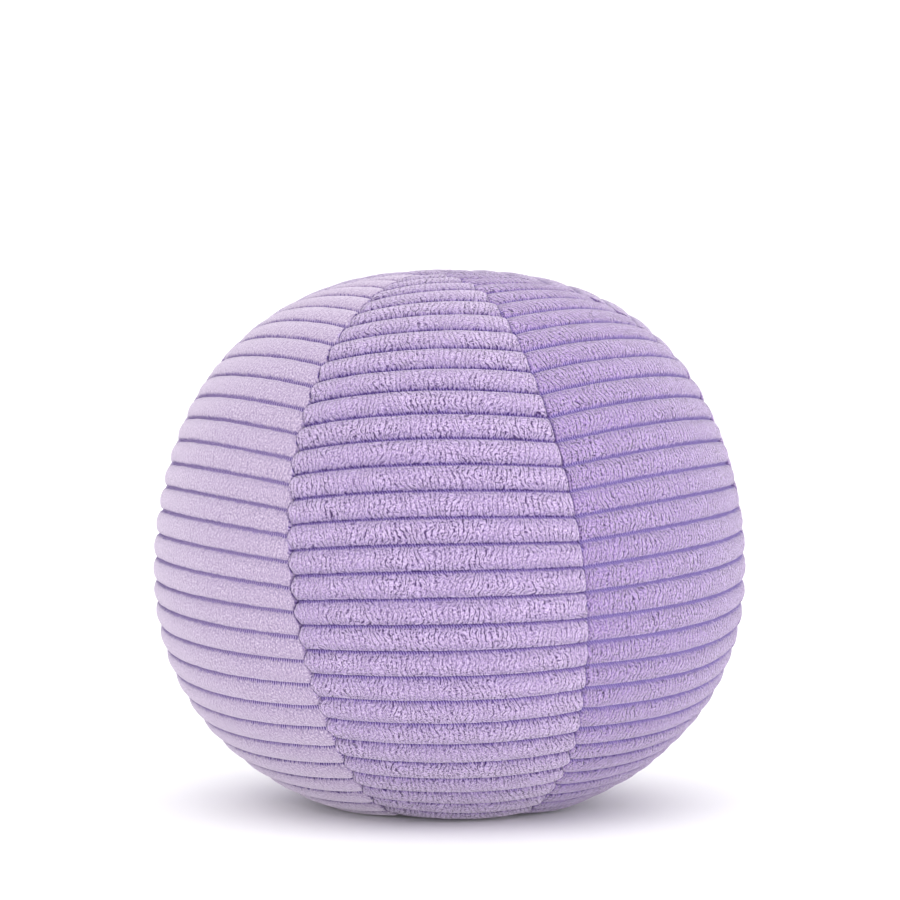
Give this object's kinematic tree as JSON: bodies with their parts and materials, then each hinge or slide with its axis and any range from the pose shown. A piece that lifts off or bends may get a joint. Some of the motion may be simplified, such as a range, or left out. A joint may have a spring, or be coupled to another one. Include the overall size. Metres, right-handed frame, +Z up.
{
  "type": "stuffed corduroy play ball",
  "caption": "Soft stuffed play ball in lilac wide-wale corduroy plush, sewn from melon-slice gores and filled with fibre, resting on its own flattened underside.",
  "frame": {"origin": "middle of the flat patch that the ball rests on, straight below the middle of its outline", "axes": "+Z up; the middle of the front panel faces -Y; +X to the right seen from the front. The sewn axis through both poles, where the gores' tips meet, leans 4 degrees to -X at the top, as the ball happens to lie"},
  "size_m": [0.2497, 0.25, 0.2266],
  "materials": {
    "corduroy": "wide-wale corduroy plush, cut pile lying across the wales, soft sheen, knitted grooves between wales",
    "sewing_thread": "spun polyester thread, matte",
    "fibre_filling": "loose polyester fibre, matte"
  },
  "bodies": {
    "root": {"panel_front": "corduroy", "panel_front_right": "corduroy", "panel_back_right": "corduroy", "panel_back": "corduroy", "panel_back_left": "corduroy", "panel_front_left": "corduroy", "fibre_filling": "fibre_filling", "thread_seam_front_right": "sewing_thread", "thread_seam_right_side": "sewing_thread", "thread_seam_back_left": "sewing_thread", "thread_seam_left_side": "sewing_thread", "thread_joining_seam": "sewing_thread", "thread_closing_stitch": "sewing_thread"}
  },
  "joints": []
}
